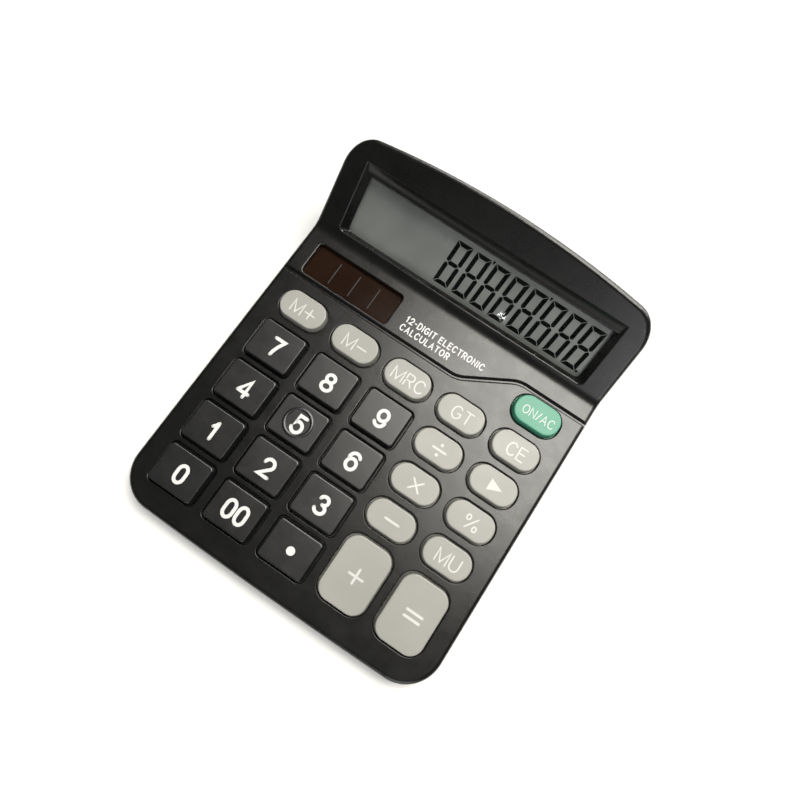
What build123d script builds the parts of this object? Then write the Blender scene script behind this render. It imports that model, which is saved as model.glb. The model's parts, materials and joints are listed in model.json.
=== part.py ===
"""Desktop calculator with a fixed, raised display head, built as separate pieces.

Frame: +X to the right of the person using it, +Y away from that person, +Z up.
The origin is the middle of the footprint, on the surface that the rubber feet rest on.
"""
import os
from math import cos, radians, sin, tan

from build123d import *

os.makedirs("parts", exist_ok=True)

# ---------------------------------------------------------------- driving dimensions, mm and degrees
foot_height = 1.2             # the case's underside stands this far above the table
case_width = 119.0            # across the sides at the underside
case_depth = 147.0            # front to back at the underside
width_draft = 1.5             # each side leans in this much up to the head's top edge
front_draft = 0.5
front_bow = 0.8               # the front and back edges bulge in plan
back_bow = 3.9
front_corner = 13.0
back_corner = 9.7
wall = 2.0
edge_round = 1.5              # round along the edge of the deck and of the display face
base_round = 0.9
crease_round = 6.0            # hollow round between the deck and the display face

deck_tilt = 5.0
head_tilt = deck_tilt + 43.4
deck_front_reach = 83.2       # from the memory row forward to the front edge, along the deck
deck_height = 17.0            # deck surface above the table at the memory row
glass_foot_reach = 34.0       # from the memory row back to the bottom line of the glass, along the deck
glass_foot_drop = 0.7         # that line lies this far under the deck's plane
face_height = 3.6             # the display face stands proud of the glass
face_length = 38.1            # from the bottom line of the glass up to the head's unrounded top edge

skirt = 4.2                   # depth of the top cover's edge, down to the parting line
lip_height = 1.2
lip_wall = 0.7
fit_gap = 0.1

column_pitch = 21.5
pill_pitch = 13.94
number_pitch = 17.05
first_number_row = -15.85
on_key_row = 14.2
tall_key_row = -62.1
cap_height = 2.5
cap_wall = 1.3
cap_round = 0.45
flange_width = 1.0
flange_height = 0.7
key_travel = 1.2
hole_round = 0.45             # round along the rim of each key hole and of the solar opening
plunger_radius = 2.4

board_drop = 5.6              # the circuit board's upper face lies this far under the deck
board_thickness = 1.2
mat_thickness = 0.7

window_width = 96.2
window_height = 20.4
window_corner = 1.6
window_round = 0.5            # round along the rim of the window's hollow
side_slope = 0.6              # how the hollow's sides and lower edge lean outwards
lower_slope = 0.02
dish_width = 4.0              # dished band over the glass, with a step before it
dish_depth = 1.1
step_width = 1.0
step_height = 2.1

groove_width = 1.9
groove_depth = 1.3
groove_slope = 28.0           # its walls lean outwards
groove_round = 0.2
groove_low = 10.2             # the groove's two levels, along the deck
groove_high = 21.25
groove_rise = (13.3, 32.3)    # it climbs from one to the other between these places
groove_bend = 10.0

cell_radius = 7.1             # AA cell
cell_length = 49.0
cell_y = 56.0

# ---------------------------------------------------------------- frames
half_depth = case_depth / 2
case_top = 60.0               # the case outline is drawn up to here before the top is cut

deck = Plane(
    origin=(0, deck_front_reach * cos(radians(deck_tilt)) - half_depth, deck_height),
    x_dir=(1, 0, 0),
    z_dir=(0, -sin(radians(deck_tilt)), cos(radians(deck_tilt))),
)
glass_foot = deck.from_local_coords(Vector(0, glass_foot_reach, -glass_foot_drop))
glass = Plane(
    origin=glass_foot,
    x_dir=(1, 0, 0),
    z_dir=(0, -sin(radians(head_tilt)), cos(radians(head_tilt))),
)


def side_point(plane, along, height):
    """A point of the deck's or the glass's frame, as (y, z) of the side view."""
    point = plane.from_local_coords(Vector(0, along, height))
    return (point.Y, point.Z)


def crease_point(depth):
    """Side-view point where the surfaces a given depth under the deck and the face cross."""
    bend = radians(head_tilt - deck_tilt)
    rise = face_height - depth
    along = (glass_foot_drop - depth - rise * cos(bend)) / sin(bend)
    return side_point(glass, along, rise)


head_back, head_level = side_point(glass, face_length, face_height)
back_draft = half_depth - head_back


# ---------------------------------------------------------------- shared forms
def case_outline(level, inset):
    """Plan of the case at one level: bowed front and back, rounded corners, leaning walls."""
    lean = (level - foot_height) / (head_level - foot_height)
    half = case_width / 2 - width_draft * lean - inset
    front = -half_depth + front_draft * lean + inset
    back = half_depth - back_draft * lean - inset
    with BuildSketch(Plane.XY.offset(level), mode=Mode.PRIVATE) as outline:
        with BuildLine():
            ThreePointArc((-half, front + front_bow), (0, front), (half, front + front_bow))
            Line((half, front + front_bow), (half, back - back_bow))
            ThreePointArc((half, back - back_bow), (0, back), (-half, back - back_bow))
            Line((-half, back - back_bow), (-half, front + front_bow))
        make_face()
        fillet(outline.vertices().group_by(Axis.Y)[0], front_corner - inset)
        fillet(outline.vertices().group_by(Axis.Y)[-1], back_corner - inset)
    return outline.sketch


def region_above(depth):
    """Side-view area above the surface that runs a given depth under deck and display face."""
    with BuildSketch(Plane.YZ.offset(-case_width), mode=Mode.PRIVATE) as region:
        with BuildLine():
            Polyline(
                side_point(deck, -2 * case_depth, -depth),
                crease_point(depth),
                side_point(glass, 2 * case_depth, face_height - depth),
                (2 * case_depth, 3 * case_depth),
                (-2 * case_depth, 3 * case_depth),
                close=True,
            )
        make_face()
        corner = Vector(*crease_point(depth))
        crease = region.vertices().sort_by_distance(corner)[0]
        fillet(crease, crease_round + depth)
    return region.sketch


def case_form(inset, floor=wall):
    """The case as one closed solid, or the same solid drawn in by a wall and a floor."""
    with BuildPart() as form:
        loft([case_outline(foot_height + floor, inset), case_outline(case_top, inset)], ruled=True)
        extrude(region_above(inset), amount=2 * case_width, mode=Mode.SUBTRACT)
    return form.part


def block(x_span, y_span, z_span, mode=Mode.ADD):
    """Add or cut a block between two corners, inside the part being built."""
    corner = (x_span[0], y_span[0], z_span[0])
    with Locations(corner):
        Box(
            x_span[1] - x_span[0],
            y_span[1] - y_span[0],
            z_span[1] - z_span[0],
            align=(Align.MIN, Align.MIN, Align.MIN),
            mode=mode,
        )


def plate(plane, x_span, along_span, height_span, mode=Mode.ADD):
    """Add or cut a block set out in a tilted frame: across, along and over that frame."""
    with BuildSketch(plane.offset(height_span[0]), mode=Mode.PRIVATE) as area:
        with Locations((sum(x_span) / 2, sum(along_span) / 2)):
            Rectangle(x_span[1] - x_span[0], along_span[1] - along_span[0])
    extrude(area.sketch, amount=height_span[1] - height_span[0], mode=mode)


def finish(part, name):
    """Label a finished piece and write it."""
    part.label = name
    export_step(part, f"parts/{name}.step")


with BuildPart() as case_solid:
    add(case_form(0, 0))
    upper_faces = case_solid.faces().filter_by(lambda face: face.normal_at().Z > 0.4)
    creases = upper_faces.edges().filter_by(Axis.X)
    fillet([edge for edge in upper_faces.edges() if edge not in creases], edge_round)
    fillet(case_solid.faces().sort_by(Axis.Z)[0].edges(), base_round)

cavity = case_form(wall)

# ---------------------------------------------------------------- layout of the keys, (x, along)
NUMBER, PILL, TALL = "number", "pill", "tall"
cap_sizes = {NUMBER: (16.3, 13.5, 1.2), PILL: (16.7, 9.8, 4.6), TALL: (16.7, 22.5, 4.6)}
cap_spread = {NUMBER: 0.45, PILL: 0.3, TALL: 0.3}      # a cap is this much wider each side at the deck
hole_gap = 0.4


def column_x(column):
    """Middle of a key column, 0 to 4 from the left."""
    return (column - 2) * column_pitch


keys = {"key_on_clear": (PILL, column_x(4), on_key_row)}
for column, name in enumerate(("memory_plus", "memory_minus", "memory_recall", "grand_total", "clear_entry")):
    keys[f"key_{name}"] = (PILL, column_x(column), 0.0)
number_rows = (("7", "8", "9"), ("4", "5", "6"), ("1", "2", "3"), ("0", "double_0", "point"))
for row, names in enumerate(number_rows):
    for column, name in enumerate(names):
        keys[f"key_{name}"] = (NUMBER, column_x(column), first_number_row - row * number_pitch)
pill_rows = (("divide", "step_back"), ("times", "percent"), ("minus", "mark_up"))
for row, names in enumerate(pill_rows):
    for column, name in enumerate(names):
        keys[f"key_{name}"] = (PILL, column_x(column + 3), -(row + 1) * pill_pitch)
for column, name in enumerate(("plus", "equals")):
    keys[f"key_{name}"] = (TALL, column_x(column + 3), tall_key_row)


def key_outlines(kind, height, growth, names=keys):
    """Outlines, at a height over the deck, of the keys of one kind, grown by a margin each side."""
    length, depth, corner = cap_sizes[kind]
    places = [(x, along) for key_kind, x, along in (keys[name] for name in names) if key_kind == kind]
    with BuildSketch(deck.offset(height), mode=Mode.PRIVATE) as outlines:
        with Locations(*places):
            RectangleRounded(length + 2 * growth, depth + 2 * growth, corner + growth)
    return outlines.sketch


# ---------------------------------------------------------------- places inside the case
deck_under = -wall
flange_top = deck_under - 0.05
flange_bottom = flange_top - flange_height
board_top = -board_drop
board_bottom = board_top - board_thickness
mat_top = board_top + mat_thickness
dome_top = flange_bottom - 0.1
floor_top = foot_height + wall

board_half_width = 53.5
board_corner = 2.0
board_span = (-73.6, 22.0)
board_screw_places = [(-50.0, 8.8), (-8.0, 8.8), (26.0, 9.2)]
board_boss_radius = 1.9
board_shank_radius = 0.75
board_shank = 4.0
board_head = (1.6, 1.0)

front_screw_places = [(x, -67.65) for x in (-50, 0, 50)]
back_screw_places = [(x, 38.5) for x in (-50, 50)]
front_seat = 2.8              # the front screw heads bear at this level, and the back ones higher up
back_seat = 7.4
front_pillar_top = 4.7
back_pillar_top = 9.0
front_boss_radius = 2.1
back_boss_radius = 3.0
shank_radius = 1.25
screw_head = (2.4, 1.4)       # radius, height
front_shank = 5.4
back_shank = 8.0
foot_places = [(x, y) for x in (-47, 47) for y in (-60.0, 61.0)]
foot_radius = 4.4
foot_recess = 0.6

solar_x = -35.1
solar_along = 18.1
solar_width = 35.2
solar_depth = 12.6
solar_corner = 1.5
solar_lens_front = -0.8
solar_seat = 0.6              # the lens is this much larger than its opening, each side

window_middle = window_height / 2
holder_half_width = 52.5
holder_span = (-3.0, 23.8)
lens_thickness = 1.2
lens_margin = 1.5
frame_back = -lens_thickness - fit_gap
holder_back = -4.8
panel_half_width = 49.3
panel_span = (-1.2, 22.8)
panel_front = frame_back - 0.05
panel_thickness = 2.0
panel_back = panel_front - panel_thickness
display_screw_places = [(x, along) for x in (-51.0, 51.0) for along in (1.0, 20.6)]
display_shank_radius = 0.65
display_shank = 6.0
display_screw_reach = 2.6     # how far these screws' holes run into the frame
display_head = (1.4, 0.8)
strip_half_width = 44.0
strip_span = (-0.8, 0.6)
display_board_half_width = 46.0
display_board_span = (-2.5, 9.0)
display_board_back = holder_back - 1.0

door_half_width = 26.0
door_front = 48.6
door_flange = 1.4
door_gap = 0.2
door_flange_top = floor_top + 0.85
door_lip_top = 4.9
bay_half_length = 28.2
bay_span = (48.4, 63.6)
bay_wall = 1.2
bay_top = 12.0
contact_thickness = 0.4
cell_z = door_flange_top + cell_radius + 0.1
cell_nub = 1.3
cell_nub_radius = 2.7
cell_end = bay_half_length - contact_thickness


def deck_level(y, height=0.0):
    """Level above the table of the surface at a height over the deck, y from the origin."""
    slope = radians(deck_tilt)
    return deck.origin.Z + (y - deck.origin.Y) * sin(slope) / cos(slope) + height / cos(slope)


# ---------------------------------------------------------------- top cover
def groove_outline(height):
    """Plan of the moulded groove at a height over the deck: level, an S-bend up to the right, level again."""
    with BuildSketch(deck.offset(height), mode=Mode.PRIVATE) as outline:
        with BuildLine():
            FilletPolyline(
                (-case_width, groove_low),
                (groove_rise[0], groove_low),
                (groove_rise[1], groove_high),
                (case_width, groove_high),
                radius=groove_bend,
            )
        trace(line_width=groove_width + 2 * height * tan(radians(groove_slope)))
    return outline.sketch


def window_recess():
    """The bevelled hollow in front of the glass: thin lower bevel, dished band along the top."""
    section = Plane(origin=glass.origin, x_dir=glass.y_dir, z_dir=(1, 0, 0))
    across = Plane(origin=glass.origin, x_dir=(1, 0, 0), z_dir=-glass.y_dir)
    half = window_width / 2
    over = 8.0
    step = (window_height + step_width, step_height)
    dish = (window_height + step_width + dish_width / 2, face_height - dish_depth)
    brow = (window_height + step_width + dish_width, face_height)
    with BuildPart() as hollow:
        with BuildSketch(section.offset(-case_width / 2)):
            with BuildLine():
                lower = Polyline(
                    (brow[0] + dish_width / 2, over),
                    (-lower_slope * over, over),
                    (0, 0),
                    (window_height, 0),
                    step,
                )
                ThreePointArc(step, dish, brow)
                Line(brow, lower @ 0)
            make_face()
        extrude(amount=case_width)
        with BuildSketch(across.offset(-case_depth / 2)):
            with BuildLine():
                flare = half + side_slope * over
                Polyline((-half, 0), (half, 0), (flare, over), (-flare, over), close=True)
            make_face()
        extrude(amount=case_depth, mode=Mode.INTERSECT)
        lower_face = hollow.faces().sort_by(lambda face: glass.to_local_coords(face.center()).Y)[0]
        upright = lower_face.edges().filter_by(lambda edge: abs(edge.tangent_at().X) < 0.7)
        fillet(upright, window_corner)
    return hollow.part


def deck_rims(part):
    """Edges around the openings in the deck."""
    flats = part.faces().filter_by(GeomType.PLANE)
    level = [face for face in flats if abs(deck.to_local_coords(face.center()).Z) < 0.01]
    deck_face = max(level, key=lambda face: face.area)
    return [edge for wire in deck_face.inner_wires() for edge in wire.edges()]


def window_rims(part):
    """Edges where the window's hollow meets the display face and the crease."""
    rims = []
    for edge in part.edges():
        middle = glass.to_local_coords(edge.center())
        level = face_height - 0.2 < middle.Z < face_height + 0.2
        if level and abs(middle.X) < window_width / 2 + 5 and -2 < middle.Y < window_height + 6:
            rims.append(edge)
    return rims


with BuildPart() as top_cover:
    add(case_solid.part)
    add(case_form(wall), mode=Mode.SUBTRACT)
    extrude(region_above(skirt), amount=2 * case_width, mode=Mode.INTERSECT)

    # frame behind the display face, its opening, and the seat for the lens behind the opening
    holder_x = (-holder_half_width, holder_half_width)
    plate(glass, holder_x, holder_span, (frame_back, face_height - wall / 2))
    add(window_recess(), mode=Mode.SUBTRACT)
    lens_x = (-window_width / 2 - lens_margin, window_width / 2 + lens_margin)
    lens_along = (-lens_margin, window_height + lens_margin)
    plate(glass, lens_x, lens_along, (-2 * lens_thickness, 0), mode=Mode.SUBTRACT)
    with BuildSketch(glass.offset(frame_back)):
        with Locations(*display_screw_places):
            Circle(display_shank_radius + 0.05)
    extrude(amount=display_screw_reach, mode=Mode.SUBTRACT)

    # solar window with the seat for its lens
    with BuildSketch(deck.offset(-wall - 1)):
        with Locations((solar_x, solar_along)):
            RectangleRounded(solar_width, solar_depth, solar_corner)
    extrude(amount=2 * wall, mode=Mode.SUBTRACT)
    with BuildSketch(deck.offset(-wall - 1)):
        with Locations((solar_x, solar_along)):
            Rectangle(solar_width + 2 * solar_seat, solar_depth + 2 * solar_seat)
    extrude(amount=wall + 1 + solar_lens_front, mode=Mode.SUBTRACT)

    # key holes, and the rounds along the rims of all openings
    for kind in cap_sizes:
        margin = cap_spread[kind] + hole_gap
        extrude(key_outlines(kind, -wall - 1, margin), amount=wall + 2, mode=Mode.SUBTRACT)
    fillet(deck_rims(top_cover.part), hole_round)
    fillet(window_rims(top_cover.part), window_round)

    # bosses for the case screws and for the board screws
    for places, bottom, radius in (
        (front_screw_places, front_pillar_top + fit_gap, front_boss_radius),
        (back_screw_places, back_pillar_top + fit_gap, back_boss_radius),
    ):
        for x, y in places:
            top = deck_level(y, -wall / 2)
            with BuildSketch(Plane.XY.offset(bottom)):
                with Locations((x, y)):
                    Circle(radius)
            extrude(amount=top - bottom)
            with BuildSketch(Plane.XY.offset(bottom)):
                with Locations((x, y)):
                    Circle(shank_radius + 0.05)
            extrude(amount=min(top - bottom - 0.4, back_shank), mode=Mode.SUBTRACT)
    with BuildSketch(deck.offset(board_top)):
        with Locations(*board_screw_places):
            Circle(board_boss_radius)
    extrude(amount=board_drop - wall / 2)
    with BuildSketch(deck.offset(board_top)):
        with Locations(*board_screw_places):
            Circle(board_shank_radius + 0.05)
    extrude(amount=board_shank - board_thickness + 0.6, mode=Mode.SUBTRACT)

    # moulded groove, carried over both sides
    above = groove_depth / 2
    groove_walls = groove_outline(above)
    extrude(groove_walls, amount=-above - groove_depth, taper=groove_slope, mode=Mode.SUBTRACT)
    groove_edges = top_cover.edges(Select.NEW)
    fillet([edge for edge in groove_edges if abs(deck.to_local_coords(edge.center()).Z) < 0.01], groove_round)

finish(top_cover.part, "top_cover")

# ---------------------------------------------------------------- bottom cover
lip_inset = wall + fit_gap + lip_wall

with BuildPart() as lip:
    add(case_form(wall + fit_gap))
    add(case_form(lip_inset), mode=Mode.SUBTRACT)
    extrude(region_above(skirt - lip_height), amount=2 * case_width, mode=Mode.SUBTRACT)
    extrude(region_above(skirt + lip_height), amount=2 * case_width, mode=Mode.INTERSECT)

with BuildPart() as bottom_cover:
    add(case_solid.part)
    add(case_form(lip_inset), mode=Mode.SUBTRACT)
    extrude(region_above(skirt), amount=2 * case_width, mode=Mode.SUBTRACT)
    add(lip.part)

    # pillars that carry the case screws, with counterbores from underneath
    for places, seat, top in (
        (front_screw_places, front_seat, front_pillar_top),
        (back_screw_places, back_seat, back_pillar_top),
    ):
        with BuildSketch(Plane.XY.offset(floor_top - 0.5)):
            with Locations(*places):
                Circle(screw_head[0] + 0.3 + wall / 2)
        extrude(amount=top - floor_top + 0.5)
        with BuildSketch(Plane.XY):
            with Locations(*places):
                Circle(screw_head[0] + 0.3)
        extrude(amount=seat, mode=Mode.SUBTRACT)
        with BuildSketch(Plane.XY):
            with Locations(*places):
                Circle(shank_radius + 0.25)
        extrude(amount=top + 1, mode=Mode.SUBTRACT)

    # seats of the rubber feet
    with BuildSketch(Plane.XY):
        with Locations(*foot_places):
            Circle(foot_radius + 0.1)
    extrude(amount=foot_height + foot_recess, mode=Mode.SUBTRACT)

    # battery bay: two end walls, a front wall, and a back wall that bridges the door's way out
    bay_x = (-bay_half_length - bay_wall, bay_half_length + bay_wall)
    for side in (-1, 1):
        inner, outer = sorted((side * bay_half_length, side * (bay_half_length + bay_wall)))
        block((inner, outer), (bay_span[0] - bay_wall, bay_span[1] + bay_wall), (floor_top - 0.5, bay_top))
    block(bay_x, (bay_span[0] - bay_wall, bay_span[0]), (floor_top - 0.5, bay_top))
    block(bay_x, (bay_span[1], bay_span[1] + bay_wall), (door_flange_top + 0.25, bay_top))

    # way of the door, out through the back wall
    door_x = (-door_half_width - door_gap, door_half_width + door_gap)
    flange_x = (door_x[0] - door_flange, door_x[1] + door_flange)
    way_span = (door_front - door_gap, case_depth)
    block(door_x, way_span, (0, floor_top + 0.1), mode=Mode.SUBTRACT)
    block(flange_x, way_span, (floor_top, door_flange_top + 0.15), mode=Mode.SUBTRACT)
    block(door_x, (bay_span[1] + bay_wall + 0.5, case_depth), (0, door_lip_top + 0.15), mode=Mode.SUBTRACT)

finish(bottom_cover.part, "bottom_cover")

# ---------------------------------------------------------------- battery door
grip_width = 18.0
grip_pitch = 1.8

with BuildPart() as battery_door:
    door_back = half_depth + 1
    block((-door_half_width, door_half_width), (door_front, door_back), (foot_height, floor_top))
    block((-door_half_width, door_half_width), (half_depth - 4.5, door_back), (foot_height, door_lip_top))
    add(case_solid.part, mode=Mode.INTERSECT)
    flange_half = door_half_width + door_flange - door_gap
    flange_back = half_depth - back_bow - 3.0
    block((-flange_half, flange_half), (door_front, flange_back), (floor_top + 0.05, door_flange_top))
    block((-door_half_width, door_half_width), (door_front, flange_back), (floor_top - 0.5, floor_top + 0.5))
    # grip ridges
    with BuildSketch(Plane.XY):
        with Locations((0, half_depth - 9)):
            with GridLocations(0, grip_pitch, 1, 4):
                SlotOverall(grip_width, 0.9)
    extrude(amount=foot_height + 0.5, mode=Mode.SUBTRACT)

finish(battery_door.part, "battery_door")

# ---------------------------------------------------------------- feet and screws
with BuildPart() as rubber_feet:
    with BuildSketch(Plane.XY):
        with Locations(*foot_places):
            Circle(foot_radius)
    extrude(amount=foot_height + foot_recess)
    fillet(rubber_feet.edges().group_by(Axis.Z)[0], 0.4)

finish(rubber_feet.part, "rubber_feet")


def add_screw(place, head, shank, cross):
    """A pan-head screw with a cross recess; it points along the place's own Z, head below."""
    head_radius, head_height = head
    with Locations(place):
        with Locations((0, 0, -head_height)):
            Cylinder(head_radius, head_height, align=(Align.CENTER, Align.CENTER, Align.MIN))
            for turn in (0, 90):
                Box(
                    cross,
                    cross / 4,
                    head_height * 0.55,
                    rotation=(0, 0, turn),
                    align=(Align.CENTER, Align.CENTER, Align.MIN),
                    mode=Mode.SUBTRACT,
                )
        Cylinder(shank[0], shank[1], align=(Align.CENTER, Align.CENTER, Align.MIN))


with BuildPart() as case_screws:
    for places, seat, length in (
        (front_screw_places, front_seat, front_shank),
        (back_screw_places, back_seat, back_shank),
    ):
        for x, y in places:
            add_screw(Location((x, y, seat)), screw_head, (shank_radius, length), 2.8)

finish(case_screws.part, "case_screws")

with BuildPart() as board_screws:
    for x, along in board_screw_places:
        place = deck.location * Location((x, along, board_bottom))
        add_screw(place, board_head, (board_shank_radius, board_shank), 1.8)

finish(board_screws.part, "board_screws")

# ---------------------------------------------------------------- display
with BuildPart() as display_window:
    inner_x = (lens_x[0] + fit_gap, lens_x[1] - fit_gap)
    inner_along = (lens_along[0] + fit_gap, lens_along[1] - fit_gap)
    plate(glass, inner_x, inner_along, (-lens_thickness, 0))

finish(display_window.part, "display_window")

with BuildPart() as lcd_panel:
    plate(glass, (-panel_half_width, panel_half_width), panel_span, (panel_back, panel_front))

finish(lcd_panel.part, "lcd_panel")

with BuildPart() as display_holder:
    plate(glass, holder_x, holder_span, (holder_back, frame_back))
    pocket_x = (-panel_half_width - fit_gap, panel_half_width + fit_gap)
    pocket_along = (panel_span[0] - fit_gap, panel_span[1] + fit_gap)
    plate(glass, pocket_x, pocket_along, (panel_back, frame_back), mode=Mode.SUBTRACT)
    strip_x = (-strip_half_width, strip_half_width)
    plate(glass, strip_x, strip_span, (holder_back, panel_back), mode=Mode.SUBTRACT)
    with BuildSketch(glass.offset(holder_back)):
        with Locations(*display_screw_places):
            Circle(display_shank_radius + 0.1)
    extrude(amount=frame_back - holder_back, mode=Mode.SUBTRACT)

finish(display_holder.part, "display_holder")

with BuildPart() as contact_strip:
    inner_x = (strip_x[0] + fit_gap, strip_x[1] - fit_gap)
    inner_along = (strip_span[0] + fit_gap, strip_span[1] - fit_gap)
    plate(glass, inner_x, inner_along, (holder_back, panel_back))

finish(contact_strip.part, "contact_strip")

with BuildPart() as display_board:
    board_x = (-display_board_half_width, display_board_half_width)
    plate(glass, board_x, display_board_span, (display_board_back, holder_back))

finish(display_board.part, "display_board")

with BuildPart() as display_screws:
    for x, along in display_screw_places:
        place = glass.location * Location((x, along, holder_back))
        add_screw(place, display_head, (display_shank_radius, display_shank), 1.6)

finish(display_screws.part, "display_screws")

# ---------------------------------------------------------------- solar cell
with BuildPart() as solar_window:
    with BuildSketch(deck.offset(-wall)):
        with Locations((solar_x, solar_along)):
            Rectangle(solar_width + 2 * solar_seat - 0.2, solar_depth + 2 * solar_seat - 0.2)
    extrude(amount=wall + solar_lens_front)

finish(solar_window.part, "solar_window")

solar_cell_top = -wall - 0.05
solar_cell_bottom = solar_cell_top - 1.1
with BuildPart() as solar_cell:
    with BuildSketch(deck.offset(solar_cell_bottom)):
        with Locations((solar_x, solar_along)):
            Rectangle(solar_width + 0.8, solar_depth + 1.2)
    extrude(amount=solar_cell_top - solar_cell_bottom)

finish(solar_cell.part, "solar_cell")

solar_lead_spread = 8.0
solar_lead_radius = 0.5
with BuildPart() as solar_leads:
    with BuildSketch(deck.offset(board_top)):
        with Locations(*[(solar_x + side * solar_lead_spread, solar_along - 2) for side in (-1, 1)]):
            Circle(solar_lead_radius)
    extrude(amount=solar_cell_bottom - board_top)

finish(solar_leads.part, "solar_leads")

# ---------------------------------------------------------------- circuit board and what is on it
with BuildPart() as main_board:
    with BuildSketch(deck.offset(board_bottom)):
        with Locations((0, sum(board_span) / 2)):
            RectangleRounded(2 * board_half_width, board_span[1] - board_span[0], board_corner)
        with Locations(*board_screw_places):
            Circle(board_shank_radius + 0.1, mode=Mode.SUBTRACT)
    extrude(amount=board_thickness)

finish(main_board.part, "main_board")

chip_place = (6.0, 4.0)
chip_radius = 7.0
chip_height = 1.6
chip_round = 1.2
with BuildPart() as chip_cover:
    with BuildSketch(deck.offset(board_bottom)):
        with Locations(chip_place):
            Circle(chip_radius)
    extrude(amount=-chip_height)
    fillet(chip_cover.faces().sort_by(Axis.Z)[0].edges(), chip_round)

finish(chip_cover.part, "chip_cover")

can_radius = 2.5
can_length = 7.0
can_place = (-26.0, 14.0)
with BuildPart() as capacitor:
    can_frame = Plane(
        origin=deck.from_local_coords(Vector(*can_place, board_bottom - can_radius)),
        x_dir=deck.y_dir,
        z_dir=(1, 0, 0),
    )
    with BuildSketch(can_frame):
        Circle(can_radius)
    extrude(amount=can_length)
    fillet(capacitor.edges().filter_by(GeomType.CIRCLE), 0.4)

finish(capacitor.part, "capacitor")

# ---------------------------------------------------------------- key mat: a rubber sheet with domes
dome_foot_radius = 4.2
dome_taper = 30.0
mat_wall = 0.5
mat_half_width = 53.0
mat_front = -73.4
mat_back = 6.6
on_tongue_side = 33.0         # a tongue of the sheet reaches back under the ON key
on_tongue_back = 20.6
key_places = [(x, along) for kind, x, along in keys.values()]

with BuildPart() as key_mat:
    plate(deck, (-mat_half_width, mat_half_width), (mat_front, mat_back), (board_top, mat_top))
    plate(deck, (on_tongue_side, mat_half_width), (mat_back - 0.6, on_tongue_back), (board_top, mat_top))
    with BuildSketch(deck.offset(mat_top)):
        with Locations(*key_places):
            Circle(dome_foot_radius)
    extrude(amount=dome_top - mat_top, taper=dome_taper)
    with BuildSketch(deck.offset(board_top)):
        with Locations(*key_places):
            Circle(dome_foot_radius - mat_wall)
    extrude(amount=dome_top - mat_wall - board_top, taper=dome_taper, mode=Mode.SUBTRACT)

finish(key_mat.part, "key_mat")

# ---------------------------------------------------------------- keycaps
ring_radius = 4.6             # finger guide on the middle number key
ring_round = 0.8
ring_height = 0.3


def keycap(kind, x, along, ringed):
    """A hollow cap with a retaining flange under the deck and a plunger over its dome."""
    length, depth, corner = cap_sizes[kind]
    spread = cap_spread[kind]
    foot_length, foot_depth, foot_corner = length + 2 * spread, depth + 2 * spread, corner + spread
    with BuildPart() as cap:
        with BuildSketch(deck.offset(flange_bottom)):
            with Locations((x, along)):
                RectangleRounded(foot_length, foot_depth, foot_corner)
        extrude(amount=-flange_bottom)
        with BuildSketch(deck) as foot:
            with Locations((x, along)):
                RectangleRounded(foot_length, foot_depth, foot_corner)
        with BuildSketch(deck.offset(cap_height)) as head:
            with Locations((x, along)):
                RectangleRounded(length, depth, corner)
        loft()
        crown = max(cap.faces(), key=lambda face: deck.to_local_coords(face.center()).Z)
        fillet(crown.edges(), cap_round)
        with BuildSketch(deck.offset(flange_bottom)):
            with Locations((x, along)):
                margin = 2 * flange_width
                RectangleRounded(foot_length + margin, foot_depth + margin, foot_corner + flange_width)
        extrude(amount=flange_height)
        with BuildSketch(deck.offset(flange_bottom)):
            with Locations((x, along)):
                inset = 2 * cap_wall
                RectangleRounded(foot_length - inset, foot_depth - inset, max(foot_corner - cap_wall, 0.3))
        extrude(amount=cap_height - cap_wall - flange_bottom, mode=Mode.SUBTRACT)
        with BuildSketch(deck.offset(flange_bottom)):
            with Locations((x, along)):
                Circle(plunger_radius)
        extrude(amount=cap_height - cap_wall / 2 - flange_bottom)
        if ringed:
            with Locations(deck.location * Location((x, along, cap_height + ring_height - ring_round))):
                Torus(ring_radius, ring_round)
    return cap.part


for name, (kind, x, along) in keys.items():
    finish(keycap(kind, x, along, name == "key_5"), name)

# ---------------------------------------------------------------- battery, contacts and leads
cell_axis = Plane(origin=(0, cell_y, cell_z), x_dir=(0, 1, 0), z_dir=(1, 0, 0))
cell_shoulder = cell_end - cell_nub

with BuildPart() as battery:
    with BuildSketch(cell_axis.offset(cell_shoulder - cell_length)):
        Circle(cell_radius)
    extrude(amount=cell_length)
    fillet(battery.edges().filter_by(GeomType.CIRCLE), 0.6)
    with BuildSketch(cell_axis.offset(cell_shoulder)):
        Circle(cell_nub_radius)
    extrude(amount=cell_nub)

finish(battery.part, "battery")

contact_y = (cell_y - 4.5, cell_y + 4.5)
contact_z = (door_flange_top + 1.0, bay_top)
with BuildPart() as battery_contact:
    block((cell_end, bay_half_length), contact_y, contact_z)

finish(battery_contact.part, "battery_contact")

spring_wire = 0.35
spring_coil = 3.0
spring_turns = 4
spring_room = cell_shoulder - cell_length + cell_end
with BuildPart() as battery_spring:
    block((-bay_half_length, -cell_end), contact_y, contact_z)
    spring_height = spring_room - 2 * spring_wire
    with BuildLine() as coil:
        Helix(
            pitch=spring_height / spring_turns,
            height=spring_height,
            radius=spring_coil,
            center=(spring_wire - cell_end, cell_y, cell_z),
            direction=(1, 0, 0),
        )
    with BuildSketch(Plane(origin=coil.line @ 0, z_dir=coil.line % 0)):
        Circle(spring_wire)
    sweep(is_frenet=True)

finish(battery_spring.part, "battery_spring")

lead_radius = 0.6
lead_bend = 3.0
lead_end_y = 27.5


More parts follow.
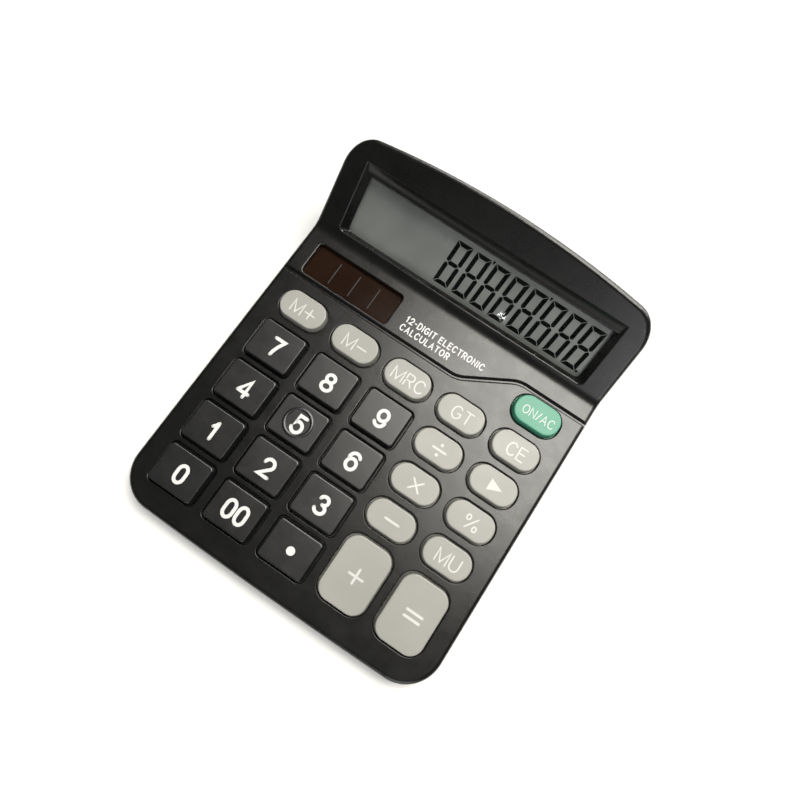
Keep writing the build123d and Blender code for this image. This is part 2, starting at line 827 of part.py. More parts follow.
def lead(side):
    """An insulated lead from a battery contact, round under the display, up to the board."""
    outer = bay_half_length + bay_wall
    end_z = deck_level(lead_end_y, board_bottom) - 0.1
    with BuildPart() as wire:
        with BuildLine() as path:
            FilletPolyline(
                (side * outer, cell_y, 8.0),
                (side * (outer + 5.5), cell_y, 8.0),
                (side * (outer + 5.5), 40.0, 6.6),
                (side * (outer + 5.5), lead_end_y, 6.6),
                (side * (outer + 5.5), lead_end_y, end_z),
                radius=lead_bend,
            )
        with BuildSketch(Plane(origin=path.line @ 0, z_dir=path.line % 0)):
            Circle(lead_radius)
        sweep()
    return wire.part


finish(lead(1), "battery_lead_red")
finish(lead(-1), "battery_lead_black")

ribbon_half_width = 22.0
ribbon_thickness = 0.2
with BuildPart() as ribbon_cable:
    with BuildSketch(Plane.YZ.offset(-ribbon_half_width)):
        with BuildLine() as route:
            FilletPolyline(
                side_point(glass, 6.0, display_board_back - ribbon_thickness),
                side_point(glass, -4.0, display_board_back - ribbon_thickness),
                side_point(deck, 30.0, board_bottom - 3.2),
                side_point(deck, 23.5, board_bottom - ribbon_thickness),
                side_point(deck, 18.0, board_bottom - ribbon_thickness),
                radius=1.5,
            )
        trace(line_width=ribbon_thickness)
    extrude(amount=2 * ribbon_half_width)

finish(ribbon_cable.part, "ribbon_cable")
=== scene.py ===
import json
from math import atan2, cos, hypot, pi, radians, sin

import bmesh
import bpy
from mathutils import Euler, Matrix, Vector


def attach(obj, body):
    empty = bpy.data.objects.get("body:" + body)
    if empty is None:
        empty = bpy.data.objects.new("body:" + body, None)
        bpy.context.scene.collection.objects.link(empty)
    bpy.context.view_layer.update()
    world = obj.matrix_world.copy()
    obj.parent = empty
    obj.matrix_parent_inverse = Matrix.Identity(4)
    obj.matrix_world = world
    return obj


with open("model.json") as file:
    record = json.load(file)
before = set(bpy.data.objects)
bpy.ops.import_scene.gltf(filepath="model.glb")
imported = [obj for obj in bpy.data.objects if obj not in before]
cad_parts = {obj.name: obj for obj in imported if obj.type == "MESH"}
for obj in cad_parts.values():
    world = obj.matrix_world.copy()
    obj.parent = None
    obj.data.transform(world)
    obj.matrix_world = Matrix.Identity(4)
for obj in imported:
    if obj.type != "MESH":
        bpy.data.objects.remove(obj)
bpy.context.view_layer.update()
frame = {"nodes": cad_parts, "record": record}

MM = 0.001
DECK_TILT = radians(5.0)
HEAD_TILT = radians(48.4)


# ---------------------------------------------------------------- tilted frames of the object
def tilted_axes(tilt):
    """Across, along and outward directions of a surface that rises towards the back."""
    return Vector((1, 0, 0)), Vector((0, cos(tilt), sin(tilt))), Vector((0, -sin(tilt), cos(tilt)))


DECK_AXES = tilted_axes(DECK_TILT)
GLASS_AXES = tilted_axes(HEAD_TILT)


def extent(node, axis):
    """Lowest and highest place of a CAD node along a direction."""
    places = [vertex.co.dot(axis) for vertex in frame["nodes"][node].data.vertices]
    return min(places), max(places)


def face_frame(node, axes, lift=0.0):
    """Matrix at the middle of a node's outward face, with the face's own axes."""
    across, along, out = axes
    low_x, high_x = extent(node, across)
    low_y, high_y = extent(node, along)
    top = extent(node, out)[1] + lift
    middle = across * (low_x + high_x) / 2 + along * (low_y + high_y) / 2 + out * top
    matrix = Matrix((across, along, out)).transposed().to_4x4()
    matrix.translation = middle
    return matrix


# ---------------------------------------------------------------- node helpers for materials
def new_material(name):
    """A material with an empty tree but its shader and output."""
    material = bpy.data.materials.new(name)
    material.use_nodes = True
    tree = material.node_tree
    tree.nodes.clear()
    output = tree.nodes.new("ShaderNodeOutputMaterial")
    shader = tree.nodes.new("ShaderNodeBsdfPrincipled")
    tree.links.new(shader.outputs["BSDF"], output.inputs["Surface"])
    return material, tree, shader


def object_coordinates(tree):
    return tree.nodes.new("ShaderNodeTexCoord").outputs["Object"]


def noise(tree, coordinates, grain, detail=3.0, roughness=0.55):
    """Noise whose features are about as large as a grain, in metres."""
    node = tree.nodes.new("ShaderNodeTexNoise")
    node.inputs["Scale"].default_value = 1.0 / grain
    node.inputs["Detail"].default_value = detail
    node.inputs["Roughness"].default_value = roughness
    tree.links.new(coordinates, node.inputs["Vector"])
    return node.outputs["Fac"]


def spread(tree, value, low, high, source=(0.3, 0.7)):
    """A value carried from its usual range to another."""
    node = tree.nodes.new("ShaderNodeMapRange")
    node.inputs["From Min"].default_value, node.inputs["From Max"].default_value = source
    node.inputs["To Min"].default_value, node.inputs["To Max"].default_value = low, high
    tree.links.new(value, node.inputs["Value"])
    return node.outputs["Result"]


def shades(tree, value, dark, light, source=(0.3, 0.7)):
    """A colour that moves between two shades with a value."""
    ramp = tree.nodes.new("ShaderNodeValToRGB")
    ramp.color_ramp.elements[0].position, ramp.color_ramp.elements[1].position = source
    ramp.color_ramp.elements[0].color = (*dark, 1)
    ramp.color_ramp.elements[1].color = (*light, 1)
    tree.links.new(value, ramp.inputs["Fac"])
    return ramp.outputs["Color"]


def bump(tree, shader, height, depth, below=None):
    """Relief of a depth in metres, stacked on another relief when one is given."""
    node = tree.nodes.new("ShaderNodeBump")
    node.inputs["Strength"].default_value = 1.0
    node.inputs["Distance"].default_value = depth
    tree.links.new(height, node.inputs["Height"])
    if below is not None:
        tree.links.new(below, node.inputs["Normal"])
    tree.links.new(node.outputs["Normal"], shader.inputs["Normal"])
    return node.outputs["Normal"]


SPARK_GRAIN, SMEAR, WAVE, MOTTLE = 0.25 * MM, 7 * MM, 4 * MM, 18 * MM
WAVE_DEPTH, SPARK_DEPTH = 0.02 * MM, 0.003 * MM


def moulded_plastic(name, dark, light, rough, relief=SPARK_DEPTH, specular=0.5):
    """Injection-moulded plastic: faint mottling, fine spark-erosion texture, slow waves, uneven gloss."""
    material, tree, shader = new_material(name)
    coordinates = object_coordinates(tree)
    slow = noise(tree, coordinates, MOTTLE, detail=2.0)
    fine = noise(tree, coordinates, SPARK_GRAIN, detail=4.0)
    tree.links.new(shades(tree, slow, dark, light), shader.inputs["Base Color"])
    smears = noise(tree, coordinates, SMEAR, detail=5.0, roughness=0.65)
    tree.links.new(spread(tree, smears, rough - 0.03, rough + 0.04), shader.inputs["Roughness"])
    shader.inputs["Specular IOR Level"].default_value = specular
    waves = bump(tree, shader, noise(tree, coordinates, WAVE, detail=1.0), WAVE_DEPTH)
    bump(tree, shader, fine, relief, waves)
    return material


ACRYLIC_IOR = 1.49
MIRROR_SHARE = 0.2      # the share of the Fresnel reflection that is kept


def clear_plastic(name):
    """Clear polished acrylic: light goes straight through, and it mirrors a little with a faint haze."""
    material, tree, shader = new_material(name)
    coordinates = object_coordinates(tree)
    haze = noise(tree, coordinates, 12 * MM, detail=4.0)
    tree.links.new(spread(tree, haze, 0.030, 0.036), shader.inputs["Roughness"])
    tree.links.new(shades(tree, haze, (0.88, 0.90, 0.90), (0.94, 0.95, 0.95)), shader.inputs["Base Color"])
    fresnel = tree.nodes.new("ShaderNodeFresnel")
    fresnel.inputs["IOR"].default_value = ACRYLIC_IOR
    mirror = spread(tree, fresnel.outputs["Fac"], 0.0, MIRROR_SHARE, (0.0, 1.0))
    tree.links.new(mirror, shader.inputs["Alpha"])
    shader.inputs["Metallic"].default_value = 1.0
    return material


def rubber(name, dark, light, rough=0.75):
    """Matt rubber: mottled, with a fine soft grain."""
    material, tree, shader = new_material(name)
    coordinates = object_coordinates(tree)
    mottle = noise(tree, coordinates, 3 * MM, detail=6.0)
    tree.links.new(shades(tree, mottle, dark, light), shader.inputs["Base Color"])
    tree.links.new(spread(tree, mottle, rough - 0.08, rough + 0.08), shader.inputs["Roughness"])
    bump(tree, shader, noise(tree, coordinates, 0.3 * MM, detail=3.0), 0.02 * MM)
    return material


def plated_steel(name, tint):
    """Plated metal with an uneven polish."""
    material, tree, shader = new_material(name)
    coordinates = object_coordinates(tree)
    mottle = noise(tree, coordinates, 0.8 * MM, detail=5.0)
    light = tuple(channel * 1.15 for channel in tint)
    tree.links.new(shades(tree, mottle, tint, light), shader.inputs["Base Color"])
    tree.links.new(spread(tree, mottle, 0.22, 0.4), shader.inputs["Roughness"])
    shader.inputs["Metallic"].default_value = 1.0
    bump(tree, shader, mottle, 0.005 * MM)
    return material


# name: darker shade, lighter shade, roughness, and what differs from common plastic
PLASTICS = {
    "case_plastic": ((0.0035, 0.0035, 0.0035), (0.0055, 0.0055, 0.0053), 0.28, {"specular": 0.47}),
    "number_key_plastic": ((0.004, 0.004, 0.0045), (0.007, 0.007, 0.0078), 0.35, {"specular": 0.66}),
    "function_key_plastic": ((0.31, 0.31, 0.278), (0.345, 0.34, 0.308), 0.42, {}),
    "on_key_plastic": ((0.07, 0.30, 0.195), (0.09, 0.335, 0.22), 0.42, {"specular": 0.4}),
    "legend_white": ((0.70, 0.70, 0.69), (0.76, 0.76, 0.75), 0.45, {}),
    "legend_pale": ((0.60, 0.60, 0.57), (0.66, 0.66, 0.63), 0.45, {}),
    "lcd_glass": ((0.155, 0.166, 0.158), (0.215, 0.228, 0.216), 0.3, {"relief": 0.001 * MM}),
    "lcd_ink": ((0.0005, 0.0005, 0.0005), (0.001, 0.001, 0.001), 0.5, {"specular": 0.0}),
    "holder_plastic": ((0.02, 0.02, 0.02), (0.03, 0.03, 0.03), 0.5, {}),
    "solar_glass": ((0.014, 0.006, 0.003), (0.019, 0.008, 0.004), 0.2, {"specular": 0.1}),
    "board_laminate": ((0.33, 0.21, 0.08), (0.38, 0.25, 0.10), 0.5, {}),
    "black_epoxy": ((0.01, 0.01, 0.01), (0.014, 0.014, 0.014), 0.25, {}),
    "cell_jacket": ((0.05, 0.06, 0.12), (0.06, 0.07, 0.14), 0.25, {}),
    "lead_red_plastic": ((0.40, 0.01, 0.01), (0.46, 0.02, 0.02), 0.4, {}),
    "lead_black_plastic": ((0.01, 0.01, 0.01), (0.02, 0.02, 0.02), 0.4, {}),
    "ribbon_film": ((0.42, 0.22, 0.05), (0.48, 0.26, 0.07), 0.3, {}),
}
MATERIALS = {
    "clear_plastic": clear_plastic("clear_plastic"),
    "can_aluminium": plated_steel("can_aluminium", (0.72, 0.72, 0.73)),
    "screw_steel": plated_steel("screw_steel", (0.50, 0.50, 0.51)),
    "contact_steel": plated_steel("contact_steel", (0.68, 0.67, 0.63)),
    "mat_rubber": rubber("mat_rubber", (0.40, 0.41, 0.41), (0.46, 0.47, 0.47)),
    "foot_rubber": rubber("foot_rubber", (0.02, 0.02, 0.02), (0.035, 0.035, 0.035)),
}
for name, (dark, light, rough, special) in PLASTICS.items():
    MATERIALS[name] = moulded_plastic(name, dark, light, rough, **special)

for row in frame["record"]["subparts"]:
    mesh = frame["nodes"][row["node"]].data
    mesh.materials.clear()
    mesh.materials.append(MATERIALS[row["material_slot"]])


# ---------------------------------------------------------------- stroke lettering
def bow(cx, cy, rx, ry, start, end, steps=18):
    """Points along an elliptic arc; angles in degrees."""
    turns = [radians(start + (end - start) * i / steps) for i in range(steps + 1)]
    return [(cx + rx * cos(turn), cy + ry * sin(turn)) for turn in turns]


def ring(cx, cy, rx, ry):
    """A closed oval; the first point is repeated at the end."""
    return bow(cx, cy, rx, ry, 90, 450, 36)


STEP = 0.004 * MM     # crossing strokes lie this far apart, so that they never share a plane
NINE_TAIL = bow(0.46, 0.36, 0.52, 0.36, 212, 360)
# strokes on a unit box, as their middle lines
STROKES = {
    "0": [bow(0.5, 0.66, 0.5, 0.34, 0, 180) + bow(0.5, 0.34, 0.5, 0.34, 180, 360) + [(1.0, 0.66)]],
    "1": [[(0.66, 0.97), (0.66, 0.0)], [(0.0, 0.70), (0.34, 0.80), (0.64, 1.0)]],
    "2": [bow(0.5, 0.70, 0.48, 0.30, 172, -32) + [(0.0, 0.0), (1.0, 0.0)]],
    "3": [bow(0.46, 0.755, 0.42, 0.245, 165, -82), bow(0.46, 0.265, 0.50, 0.265, 88, -165)],
    "4": [[(0.72, 0.0), (0.72, 1.0), (0.0, 0.26)], [(0.0, 0.26), (1.0, 0.26)]],
    "5": [[(0.92, 1.0), (0.24, 1.0), (0.12, 0.50)] + bow(0.48, 0.33, 0.50, 0.33, 130, -160)],
    "6": [ring(0.5, 0.32, 0.48, 0.32), bow(0.54, 0.64, 0.52, 0.36, 32, 180)],
    "7": [[(0.0, 1.0), (1.0, 1.0), (0.66, 0.60), (0.47, 0.26), (0.40, 0.0)]],
    "8": [ring(0.5, 0.765, 0.41, 0.235), ring(0.5, 0.265, 0.5, 0.265)],
    "9": [ring(0.5, 0.68, 0.48, 0.32), NINE_TAIL],
    "A": [[(0.0, 0.0), (0.5, 1.0), (1.0, 0.0)], [(0.18, 0.34), (0.82, 0.34)]],
    "C": [bow(0.54, 0.5, 0.54, 0.5, 38, 322, 28)],
    "D": [[(0.0, 0.0), (0.0, 1.0), (0.45, 1.0)] + bow(0.45, 0.5, 0.55, 0.5, 90, -90) + [(0.0, 0.0)]],
    "E": [[(1.0, 1.0), (0.0, 1.0), (0.0, 0.0), (1.0, 0.0)], [(0.0, 0.53), (0.9, 0.53)]],
    "G": [bow(0.52, 0.5, 0.52, 0.5, 42, 318, 28) + [(0.98, 0.20), (0.98, 0.46), (0.58, 0.46)]],
    "I": [[(0.5, 0.0), (0.5, 1.0)]],
    "L": [[(0.0, 1.0), (0.0, 0.0), (1.0, 0.0)]],
    "M": [[(0.0, 0.0), (0.0, 1.0), (0.5, 0.06), (1.0, 1.0), (1.0, 0.0)]],
    "N": [[(0.0, 0.0), (0.0, 1.0), (1.0, 0.0), (1.0, 1.0)]],
    "O": [ring(0.5, 0.5, 0.5, 0.5)],
    "R": [
        [(0.0, 0.0), (0.0, 1.0), (0.6, 1.0)] + bow(0.6, 0.74, 0.38, 0.26, 90, -90) + [(0.0, 0.48)],
        [(0.52, 0.48), (1.0, 0.0)],
    ],
    "T": [[(0.0, 1.0), (1.0, 1.0)], [(0.5, 1.0), (0.5, 0.0)]],
    "U": [[(0.0, 1.0), (0.0, 0.36)] + bow(0.5, 0.36, 0.5, 0.36, 180, 360) + [(1.0, 1.0)]],
    "/": [[(0.0, 0.0), (1.0, 1.0)]],
    "+": [[(0.0, 0.5), (1.0, 0.5)], [(0.5, 0.0), (0.5, 1.0)]],
    "-": [[(0.0, 0.5), (1.0, 0.5)]],
    "–": [[(0.0, 0.5), (1.0, 0.5)]],
    "x": [[(0.0, 0.0), (1.0, 1.0)], [(0.0, 1.0), (1.0, 0.0)]],
    "=": [[(0.0, 0.25), (1.0, 0.25)], [(0.0, 0.75), (1.0, 0.75)]],
    "%": [ring(0.14, 0.80, 0.14, 0.20), ring(0.86, 0.20, 0.14, 0.20), [(0.18, 0.0), (0.82, 1.0)]],
}
# widths of the characters that differ from the usual one
WIDTHS = {
    "0": 0.9, "1": 0.66, "4": 1.08, "A": 1.12, "C": 1.08, "D": 1.06, "E": 0.94, "G": 1.14, "I": 0.14,
    "L": 0.9, "M": 1.36, "N": 1.06, "O": 1.16, "T": 1.04, "U": 1.14, "/": 0.62,
    "-": 0.6, "–": 1.3, "+": 1.3,
}


def apart(first, second):
    return hypot(first[0] - second[0], first[1] - second[1])


def side_points(points, closed, reach):
    """Points of both sides of a stroke, mitred at its turns."""
    count = len(points)
    lefts, rights = [], []
    for i, (x, y) in enumerate(points):
        before = points[i - 1] if i else (points[-2] if closed else None)
        after = points[i + 1] if i < count - 1 else (points[1] if closed else None)
        ways = []
        if before:
            ways.append((x - before[0], y - before[1]))
        if after:
            ways.append((after[0] - x, after[1] - y))
        units = [(dx / hypot(dx, dy), dy / hypot(dx, dy)) for dx, dy in ways]
        along = Vector((sum(u[0] for u in units), sum(u[1] for u in units))).normalized()
        across = Vector((-along.y, along.x))
        spread_out = max(abs(across.dot(Vector((-units[0][1], units[0][0])))), 0.45)
        lefts.append(Vector((x, y)) + across * reach / spread_out)
        rights.append(Vector((x, y)) - across * reach / spread_out)
    return lefts, rights


def add_stroke(bm, points, width, place, level=0):
    """A flat ribbon along a middle line, with round ends unless it closes on itself.

    Each level lies a little higher.
    """
    place = place @ Matrix.Translation((0, 0, level * STEP))
    points = [p for i, p in enumerate(points) if i == 0 or apart(p, points[i - 1]) > 1e-9]
    closed = apart(points[0], points[-1]) < width * 0.01
    lefts, rights = side_points(points, closed, width / 2)
    if closed:
        lefts, rights = lefts[:-1], rights[:-1]
    left = [bm.verts.new(place @ Vector((p.x, p.y, 0))) for p in lefts]
    right = [bm.verts.new(place @ Vector((p.x, p.y, 0))) for p in rights]
    last = len(left) if closed else len(left) - 1
    for i in range(last):
        j = (i + 1) % len(left)
        bm.faces.new((right[i], right[j], left[j], left[i]))
    if closed:
        return
    for end, inner, first, second in ((0, 1, left[0], right[0]), (-1, -2, right[-1], left[-1])):
        out = Vector(points[end]) - Vector(points[inner])
        turn = atan2(out.y, out.x)
        cap = [first]
        for step in range(1, 8):
            angle = turn + pi / 2 - pi * step / 8
            x = points[end][0] + width / 2 * cos(angle)
            y = points[end][1] + width / 2 * sin(angle)
            cap.append(bm.verts.new(place @ Vector((x, y, 0))))
        cap.append(second)
        bm.faces.new(list(reversed(cap)))


def glyph_strokes(mark, width, height, stroke):
    """Middle lines of a character at its real size, from the lower left corner of its box."""
    span_x, span_y = width - stroke, height - stroke
    lines = []
    for line in STROKES[mark]:
        lines.append([(stroke / 2 + x * span_x, stroke / 2 + y * span_y) for x, y in line])
    return lines


def layout(text, height, stroke, aspect, gap):
    """Characters of a line with their left edges and widths, and the line's whole length."""
    places, x = [], 0.0
    for mark in text:
        if mark == " ":
            x += height * 0.38
            continue
        width = max(height * aspect * WIDTHS.get(mark, 1.0), stroke * 1.02)
        places.append((mark, x, width))
        x += width + gap
    return places, x - gap


RELIEF = 0.03 * MM


def solid_mesh(bm, name, material, matrix, body, thickness=RELIEF):
    """Turn a flat drawing into a thin solid piece that rides on a body."""
    bmesh.ops.recalc_face_normals(bm, faces=bm.faces)
    for face in bm.faces:
        if face.normal.z < 0:
            face.normal_flip()
    made = bmesh.ops.extrude_face_region(bm, geom=list(bm.faces))
    moved = [item for item in made["geom"] if isinstance(item, bmesh.types.BMVert)]
    bmesh.ops.translate(bm, verts=moved, vec=(0, 0, thickness))
    mesh = bpy.data.meshes.new(name)
    bm.to_mesh(mesh)
    bm.free()
    mesh.transform(matrix)
    piece = bpy.data.objects.new(name, mesh)
    bpy.context.scene.collection.objects.link(piece)
    mesh.materials.append(MATERIALS[material])
    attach(piece, body)
    return piece


def lettering(name, text, height, stroke, matrix, body, aspect, gap, y_scale=1.0, paint="legend_white"):
    """A line of stroke lettering on a surface."""
    places, length = layout(text, height, stroke, aspect, gap)
    bm = bmesh.new()
    for mark, x, width in places:
        tall = height * y_scale if mark in "x+–" else height
        base = (height - tall) / 2
        shift = Matrix.Translation((x - length / 2, base - height / 2, 0))
        for level, line in enumerate(glyph_strokes(mark, width, tall, stroke)):
            add_stroke(bm, line, stroke, shift, level)
    return solid_mesh(bm, name, paint, matrix, body)


def disc_points(radius, x=0.0, y=0.0, steps=32):
    turns = [2 * pi * i / steps for i in range(steps)]
    return [(x + radius * cos(turn), y + radius * sin(turn)) for turn in turns]


def filled(bm, points):
    """A flat face with the given corners."""
    bm.faces.new([bm.verts.new((x, y, 0)) for x, y in points])


# ---------------------------------------------------------------- key legends
SINK = -0.005 * MM
CAP_HEIGHT = 2.5 * MM
NUMBER_HEIGHT, NUMBER_STROKE, NUMBER_ASPECT = 7.0 * MM, 1.18 * MM, 0.68
WORD_STROKE = 0.5 * MM
WORD_HEIGHT, WORD_ASPECT, WORD_GAP = 4.9 * MM, 0.66, 0.62 * MM
LEGEND_SHIFT = Matrix.Translation((0.5 * MM, -0.35 * MM, 0))      # they are printed a little off centre


def key_lettering(node, text, height, stroke, aspect, gap, y_scale=1.0, drop=0.0, paint="legend_pale"):
    """The legend of one key; drop is how far it lies under the key's highest point."""
    surface = face_frame(node, DECK_AXES, SINK - drop) @ LEGEND_SHIFT
    lettering(f"legend_{node[4:]}", text, height, stroke, surface, node, aspect, gap, y_scale, paint)


def number_lettering(node, text, gap=0.5 * MM, drop=0.0):
    key_lettering(node, text, NUMBER_HEIGHT, NUMBER_STROKE, NUMBER_ASPECT, gap, 1.0, drop, "legend_white")


RING_HEIGHT = 0.3 * MM      # the finger ring of the 5 key stands above its face
for digit in "0123456789":
    number_lettering(f"key_{digit}", digit, drop=RING_HEIGHT if digit == "5" else 0.0)
number_lettering("key_double_0", "00", 0.32 * MM)

for node, text in (("memory_recall", "MRC"), ("grand_total", "GT"), ("clear_entry", "CE"), ("mark_up", "MU")):
    key_lettering(f"key_{node}", text, WORD_HEIGHT, WORD_STROKE, WORD_ASPECT, WORD_GAP)
for node, text in (("memory_plus", "M+"), ("memory_minus", "M–")):
    key_lettering(f"key_{node}", text, WORD_HEIGHT, WORD_STROKE, WORD_ASPECT, WORD_GAP, y_scale=0.84)

# key, legend, height and stroke in mm, width of a character over its height
OWN_SIZES = (
    ("percent", "%", 4.9, 0.5, 1.08),
    ("on_clear", "ON/AC", 3.3, 0.32, 0.62),
    ("plus", "+", 6.0, 0.82, 0.77),
    ("equals", "=", 5.0, 0.86, 1.34),
    ("times", "x", 4.5, 0.62, 1.0),
    ("minus", "–", 4.0, 0.8, 1.16),
)
OWN_GAP = 0.42 * MM
for node, text, height, stroke, aspect in OWN_SIZES:
    key_lettering(f"key_{node}", text, height * MM, stroke * MM, aspect, OWN_GAP)


def mark_piece(name, node, draw, paint):
    """A legend drawn by its own function."""
    bm = bmesh.new()
    draw(bm)
    surface = face_frame(node, DECK_AXES, SINK) @ LEGEND_SHIFT
    return solid_mesh(bm, name, paint, surface, node)


def draw_divide(bm):
    """A bar with a dot over and under it."""
    add_stroke(bm, [(-2.6 * MM, 0), (2.6 * MM, 0)], 0.75 * MM, Matrix.Identity(4))
    for side in (-1, 1):
        filled(bm, disc_points(0.58 * MM, 0, side * 1.85 * MM, 24))


def draw_point(bm):
    """A round dot."""
    filled(bm, disc_points(1.45 * MM))


def draw_arrow(bm):
    """A filled triangle that points right."""
    filled(bm, [(-2.0 * MM, -2.1 * MM), (2.9 * MM, 0.0), (-2.0 * MM, 2.1 * MM)])


mark_piece("legend_divide", "key_divide", draw_divide, "legend_pale")
mark_piece("legend_point", "key_point", draw_point, "legend_white")
mark_piece("legend_step_back", "key_step_back", draw_arrow, "legend_pale")


# ---------------------------------------------------------------- printed lines beside the solar window
def deck_matrix(x, along, height):
    """Matrix on the deck's surface; along is counted from the memory keys' row."""
    across, back, out = DECK_AXES
    row = face_frame("key_memory_recall", DECK_AXES)
    matrix = row.copy()
    matrix.translation = row.translation + across * x + back * along + out * (height - CAP_HEIGHT)
    return matrix


PRINT_HEIGHT, PRINT_STROKE, PRINT_ASPECT, PRINT_GAP = 2.65 * MM, 0.42 * MM, 0.6, 0.36 * MM
# text, place across and along the deck in mm
PRINT_LINES = (("12-DIGIT ELECTRONIC", 3.5, 18.3), ("CALCULATOR", -2.7, 14.75))
for line, (text, x, along) in enumerate(PRINT_LINES):
    surface = deck_matrix(x * MM, along * MM, SINK)
    name = f"print_line_{line + 1}"
    lettering(name, text, PRINT_HEIGHT, PRINT_STROKE, surface, "case", PRINT_ASPECT, PRINT_GAP)


# ---------------------------------------------------------------- display segments
def segment_polygons(width, height, stroke, gap):
    """Seven segments of one digit, about its middle."""
    half_w, half_h, s = width / 2, height / 2, stroke
    flats, uprights = [], []
    for level in (-1, 0, 1):
        y = level * (half_h - s / 2)
        ends = half_w - gap
        inner = half_w - s - gap
        if level == 0:
            mid = half_w - s / 2 - gap
            lower = [(-mid, y), (-inner, y - s / 2), (inner, y - s / 2)]
            flats.append(lower + [(mid, y), (inner, y + s / 2), (-inner, y + s / 2)])
        else:
            outside, inside = y + level * s / 2, y - level * s / 2
            flats.append([(-ends, outside), (ends, outside), (inner, inside), (-inner, inside)])
    for side in (-1, 1):
        for level in (-1, 1):
            x_out, x_in = side * half_w, side * (half_w - s)
            tip, foot = level * (half_h - gap), level * gap
            uprights.append([
                (x_out, tip), (x_in, level * (half_h - s - gap)), (x_in, level * (s / 2 + gap)),
                (side * (half_w - s / 2), foot), (x_out, level * (s / 2 + gap) * 0.75),
            ])
    return flats + uprights


DIGIT_PITCH, DIGIT_WIDTH, DIGIT_HEIGHT = 7.57 * MM, 6.0 * MM, 17.1 * MM
SEGMENT, SEGMENT_GAP = 1.55 * MM, 0.15 * MM
SLANT = radians(4.6)
LIT_DIGITS = 8
FILM = 0.01 * MM      # thickness of what lies on the panel and on the cell
LAST_DIGIT_X, DIGIT_Y = 43.6 * MM, -1.15 * MM      # from the middle of the panel
lcd_matrix = face_frame("lcd_panel", GLASS_AXES, SINK)


def slanted(points, x, y):
    """Points leaned like the digits, then moved to a place on the panel."""
    return [(x + px + py * sin(SLANT), y + py) for px, py in points]


bm = bmesh.new()
for place in range(LIT_DIGITS):
    x = LAST_DIGIT_X - (LIT_DIGITS - 1 - place) * DIGIT_PITCH
    for polygon in segment_polygons(DIGIT_WIDTH, DIGIT_HEIGHT, SEGMENT, SEGMENT_GAP):
        filled(bm, slanted(polygon, x, DIGIT_Y))
    if place in (1, 4):      # a thousands mark
        mark = [(-0.45 * MM, 0.7 * MM), (0.45 * MM, 0.7 * MM), (0.3 * MM, -0.2 * MM), (-0.1 * MM, -0.8 * MM)]
        mark_y = DIGIT_Y + DIGIT_HEIGHT / 2 - 0.3 * MM
        filled(bm, slanted(mark, x + DIGIT_PITCH / 2 + 0.6 * MM, mark_y))
    if place == LIT_DIGITS - 1:      # the decimal point
        point_y = DIGIT_Y - DIGIT_HEIGHT / 2 + 0.3 * MM
        filled(bm, slanted(disc_points(0.5 * MM, steps=16), x + DIGIT_PITCH / 2 - 0.9 * MM, point_y))
solid_mesh(bm, "lcd_segments", "lcd_ink", lcd_matrix, "case", FILM)

# ---------------------------------------------------------------- divider lines of the solar cell
DIVIDER_PITCH, DIVIDER_SHIFT = 8.3 * MM, 0.55 * MM
DIVIDER_HALF_WIDTH, DIVIDER_HALF_LENGTH = 0.15 * MM, 4.3 * MM
bm = bmesh.new()
cell_matrix = face_frame("solar_cell", DECK_AXES, SINK)
for divider in (-1, 0, 1):
    x = divider * DIVIDER_PITCH + DIVIDER_SHIFT
    low_x, high_x = x - DIVIDER_HALF_WIDTH, x + DIVIDER_HALF_WIDTH
    low_y, high_y = -DIVIDER_HALF_LENGTH, DIVIDER_HALF_LENGTH
    filled(bm, [(low_x, low_y), (high_x, low_y), (high_x, high_y), (low_x, high_y)])
solid_mesh(bm, "solar_dividers", "holder_plastic", cell_matrix, "case", FILM)

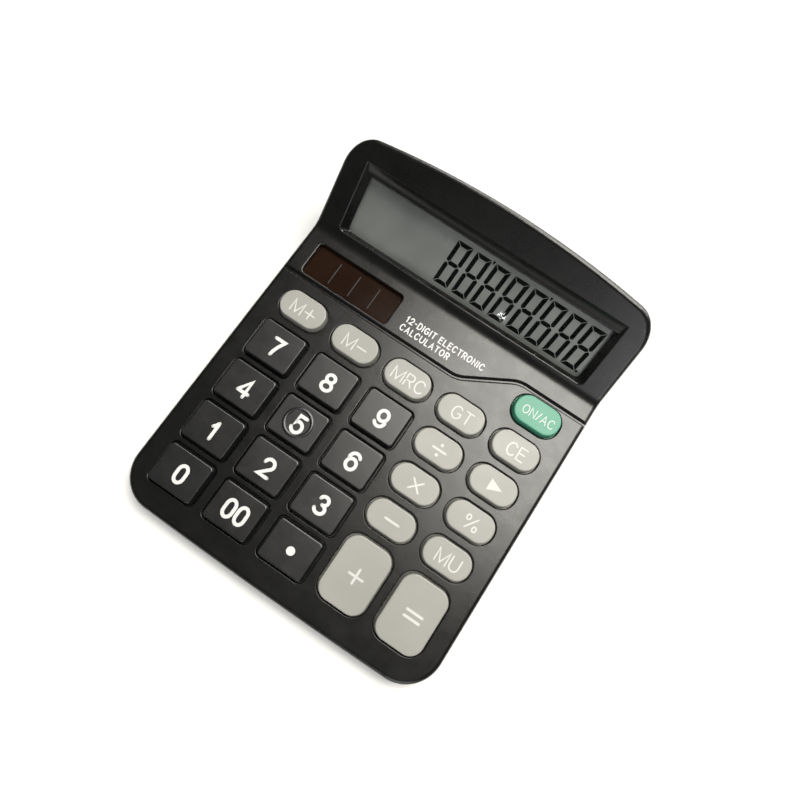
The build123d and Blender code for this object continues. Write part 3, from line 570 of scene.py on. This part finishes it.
# ---------------------------------------------------------------- floor, lights, camera
FLOOR_HALF_SIZE = 3.0
floor_mesh = bpy.data.meshes.new("floor")
bm = bmesh.new()
bmesh.ops.create_grid(bm, x_segments=1, y_segments=1, size=FLOOR_HALF_SIZE)
bm.to_mesh(floor_mesh)
bm.free()
floor = bpy.data.objects.new("floor", floor_mesh)
bpy.context.scene.collection.objects.link(floor)
floor_material, floor_tree, floor_shader = new_material("floor_paper")
paper = noise(floor_tree, object_coordinates(floor_tree), 20 * MM, detail=6.0)
paper_shades = shades(floor_tree, paper, (0.93, 0.93, 0.92), (0.95, 0.95, 0.94))
floor_tree.links.new(paper_shades, floor_shader.inputs["Base Color"])
floor_shader.inputs["Roughness"].default_value = 0.9
floor_mesh.materials.append(floor_material)

world = bpy.data.worlds.new("studio")
bpy.context.scene.world = world
world.use_nodes = True
world.node_tree.nodes["Background"].inputs["Color"].default_value = (1.0, 0.99, 0.97, 1)
world.node_tree.nodes["Background"].inputs["Strength"].default_value = 0.06


def softbox(name, location, target, size, power, tint=(1, 1, 1)):
    """A rectangular area light that faces a point."""
    light = bpy.data.lights.new(name, "AREA")
    light.shape = "RECTANGLE"
    light.size, light.size_y = size
    light.energy = power
    light.color = tint
    lamp = bpy.data.objects.new(name, light)
    lamp.location = location
    lamp.rotation_euler = (Vector(target) - Vector(location)).to_track_quat("-Z", "Y").to_euler()
    bpy.context.scene.collection.objects.link(lamp)
    return lamp


# name, place, point it faces, size in metres, power in watts, tint
softbox("back_softbox", (0.195, 0.27, 1.05), (0, 0, 0), (0.52, 0.52), 12.5, (1.0, 0.972, 0.90))
softbox("front_softbox", (0.50, -0.95, 0.42), (0, 0, 0), (0.50, 0.50), 3.0)
softbox("far_lamp", (0.003, -0.884, 0.378), (0.014, 0.047, 0.024), (0.016, 0.008), 0.02)
softbox("front_card", (0.28, -1.00, 0.44), (0, 0, 0), (1.00, 0.50), 0.4)
fill = softbox("overhead_fill", (-0.50, -0.30, 1.10), (0, 0, 0), (1.20, 1.20), 6.0)
fill.visible_glossy = False      # it lifts the shadows, and no surface mirrors it
rim = softbox("rim_card", (0.25, 0.90, 0.75), (0, 0, 0), (1.60, 0.80), 36.0, (1.0, 0.98, 0.95))
rim.visible_diffuse = False      # it is only seen mirrored, along edges and sheen

camera_data = bpy.data.cameras.new("camera")
camera_data.sensor_width = 36.0
camera_data.lens = 27.45
camera = bpy.data.objects.new("camera", camera_data)
camera.location = (17.0 * MM, -54.4 * MM, 213.6 * MM)
camera.rotation_euler = Euler((radians(15.7), radians(-5.39), radians(33.53)), "XYZ")
camera_data.clip_start = 0.01
bpy.context.scene.collection.objects.link(camera)
bpy.context.scene.camera = camera
bpy.context.scene.view_settings.view_transform = "Standard"
